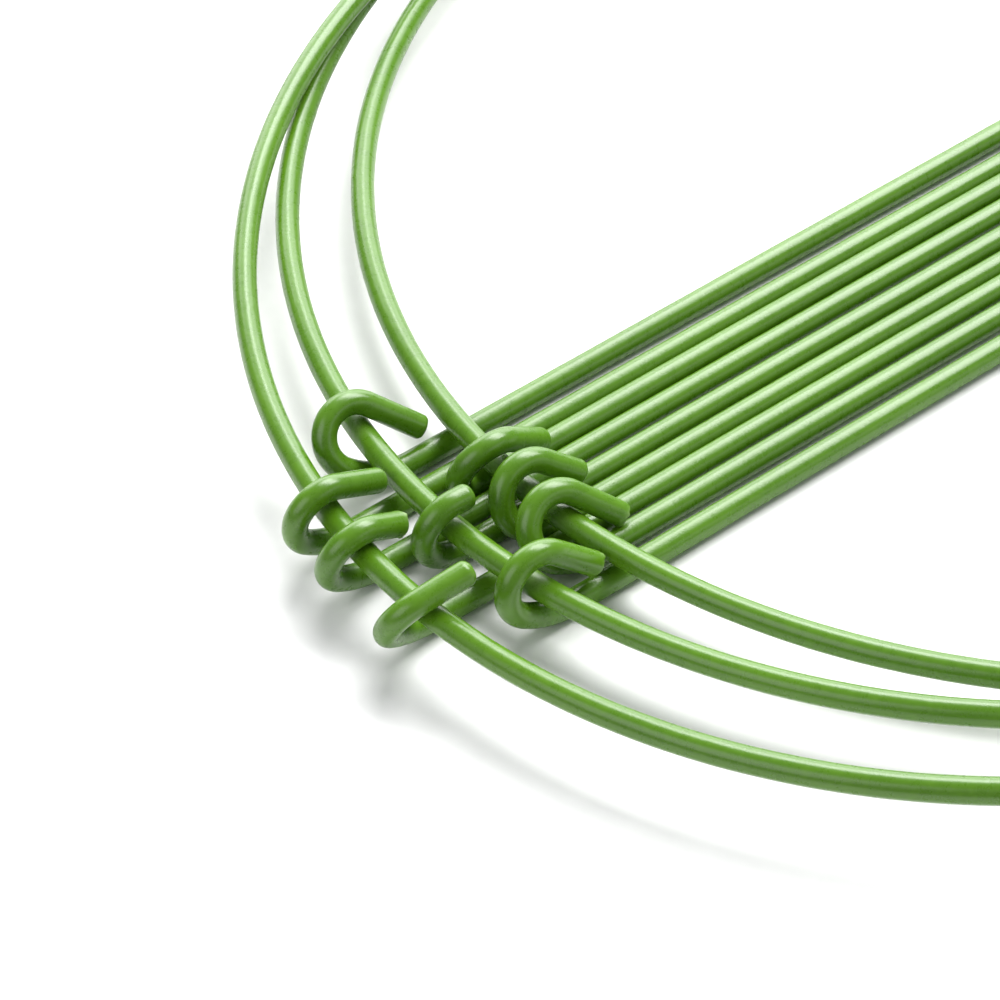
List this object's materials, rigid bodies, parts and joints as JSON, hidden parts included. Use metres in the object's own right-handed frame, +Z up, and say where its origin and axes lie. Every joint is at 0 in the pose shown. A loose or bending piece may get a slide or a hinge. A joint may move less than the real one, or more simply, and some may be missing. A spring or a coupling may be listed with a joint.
{
  "type": "floral ring frame set",
  "caption": "Nested set of coated-wire floral rings, each with folding legs hooked round the ring wire and folded flat.",
  "frame": {"origin": "centre of the middle ring, at the level of the surface that the folded set lies on", "axes": "+X along the folded legs away from their hooks, +Z up"},
  "size_m": [0.44, 0.2595, 0.0263],
  "materials": {
    "green_coat": "satin-gloss dipped plastic coat, mid green",
    "steel_wire": "bare drawn steel, sealed under the coat"
  },
  "bodies": {
    "frame_outer": {"ring_outer_core": "steel_wire", "ring_outer_coat": "green_coat"},
    "frame_middle": {"ring_middle_core": "steel_wire", "ring_middle_coat": "green_coat"},
    "frame_inner": {"ring_inner_core": "steel_wire", "ring_inner_coat": "green_coat"},
    "leg_middle_1": {"leg_middle_1_core": "steel_wire", "leg_middle_1_coat": "green_coat"},
    "leg_outer_1": {"leg_outer_1_core": "steel_wire", "leg_outer_1_coat": "green_coat"},
    "leg_inner_1": {"leg_inner_1_core": "steel_wire", "leg_inner_1_coat": "green_coat"},
    "leg_outer_2": {"leg_outer_2_core": "steel_wire", "leg_outer_2_coat": "green_coat"},
    "leg_middle_2": {"leg_middle_2_core": "steel_wire", "leg_middle_2_coat": "green_coat"},
    "leg_inner_2": {"leg_inner_2_core": "steel_wire", "leg_inner_2_coat": "green_coat"},
    "leg_outer_3": {"leg_outer_3_core": "steel_wire", "leg_outer_3_coat": "green_coat"},
    "leg_inner_3": {"leg_inner_3_core": "steel_wire", "leg_inner_3_coat": "green_coat"},
    "leg_middle_3": {"leg_middle_3_core": "steel_wire", "leg_middle_3_coat": "green_coat"}
  },
  "joints": [
    {"name": "outer_frame_draw_out", "type": "slide", "parent": "frame_middle", "child": "frame_outer", "axis": [-1, 0, 0], "range_m": [0, 0.12]},
    {"name": "inner_frame_push_in", "type": "slide", "parent": "frame_middle", "child": "frame_inner", "axis": [1, 0, 0], "range_m": [0, 0.12]},
    {"name": "leg_middle_1_swing", "type": "hinge", "parent": "frame_middle", "child": "leg_middle_1", "pos_m": [-0.12182, 0.01659, 0.00788], "axis": [0, 1, 0], "range_deg": [0, 95]},
    {"name": "leg_outer_1_swing", "type": "hinge", "parent": "frame_outer", "child": "leg_outer_1", "pos_m": [-0.1361, 0.00568, 0.01022], "axis": [0, 1, 0], "range_deg": [0, 95]},
    {"name": "leg_inner_1_swing", "type": "hinge", "parent": "frame_inner", "child": "leg_inner_1", "pos_m": [-0.10911, 0.00071, 0.0067], "axis": [0, 1, 0], "range_deg": [0, 95]},
    {"name": "leg_outer_2_swing", "type": "hinge", "parent": "frame_outer", "child": "leg_outer_2", "pos_m": [-0.13693, -0.00421, 0.01018], "axis": [0, 1, 0], "range_deg": [0, 95]},
    {"name": "leg_middle_2_swing", "type": "hinge", "parent": "frame_middle", "child": "leg_middle_2", "pos_m": [-0.1227, -0.00778, 0.00786], "axis": [0, 1, 0], "range_deg": [0, 95]},
    {"name": "leg_inner_2_swing", "type": "hinge", "parent": "frame_inner", "child": "leg_inner_2", "pos_m": [-0.10883, -0.01002, 0.0067], "axis": [0, 1, 0], "range_deg": [0, 95]},
    {"name": "leg_outer_3_swing", "type": "hinge", "parent": "frame_outer", "child": "leg_outer_3", "pos_m": [-0.13658, -0.0203, 0.0102], "axis": [0, 1, 0], "range_deg": [0, 95]},
    {"name": "leg_inner_3_swing", "type": "hinge", "parent": "frame_inner", "child": "leg_inner_3", "pos_m": [-0.10797, -0.01829, 0.0067], "axis": [0, 1, 0], "range_deg": [0, 95]},
    {"name": "leg_middle_3_swing", "type": "hinge", "parent": "frame_middle", "child": "leg_middle_3", "pos_m": [-0.12015, -0.0261, 0.00793], "axis": [0, 1, 0], "range_deg": [0, 95]}
  ],
  "couplings": [
    {"joint": "leg_inner_1_swing", "follows": "leg_outer_2_swing", "ratio": 1},
    {"joint": "leg_inner_2_swing", "follows": "leg_middle_2_swing", "ratio": 1},
    {"joint": "leg_inner_3_swing", "follows": "leg_outer_3_swing", "ratio": 1}
  ]
}
